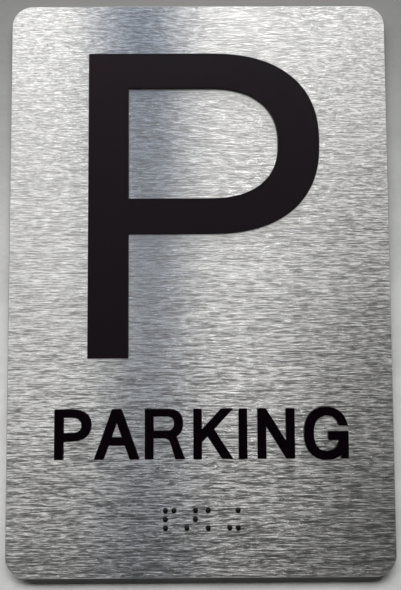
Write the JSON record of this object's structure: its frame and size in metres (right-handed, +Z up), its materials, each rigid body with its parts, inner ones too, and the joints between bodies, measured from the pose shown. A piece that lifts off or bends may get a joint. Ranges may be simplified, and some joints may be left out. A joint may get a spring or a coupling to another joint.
{
  "type": "parking floor number sign",
  "caption": "Upright wall sign: a round-cornered brushed metal plate with flat raised letters, seated braille beads and strips of foam tape on its back.",
  "frame": {"origin": "centre of the back face of the middle strip of foam tape, in the plane where the sign meets the wall", "axes": "+Z up the sign, +X to the reader's right, +Y back into the wall, so the lettered face looks along -Y"},
  "size_m": [0.1524, 0.0041, 0.2286],
  "materials": {
    "brushed_plate": "brushed level, satin",
    "black_letter": "satin black with a fine grain",
    "black_bead": "smooth, soft gloss",
    "foam_tape": "dull closed-cell foam"
  },
  "bodies": {
    "root": {"plate": "brushed_plate", "large_letter_p": "black_letter", "word_letter_p": "black_letter", "word_letter_a": "black_letter", "word_letter_r": "black_letter", "word_letter_k": "black_letter", "word_letter_i": "black_letter", "word_letter_n": "black_letter", "word_letter_g": "black_letter", "braille_bead_01": "black_bead", "braille_bead_02": "black_bead", "braille_bead_03": "black_bead", "braille_bead_04": "black_bead", "braille_bead_05": "black_bead", "braille_bead_06": "black_bead", "braille_bead_07": "black_bead", "braille_bead_08": "black_bead", "braille_bead_09": "black_bead", "braille_bead_10": "black_bead", "braille_bead_11": "black_bead", "braille_bead_12": "black_bead", "mounting_tape_bottom": "foam_tape", "mounting_tape_middle": "foam_tape", "mounting_tape_top": "foam_tape"}
  },
  "joints": []
}
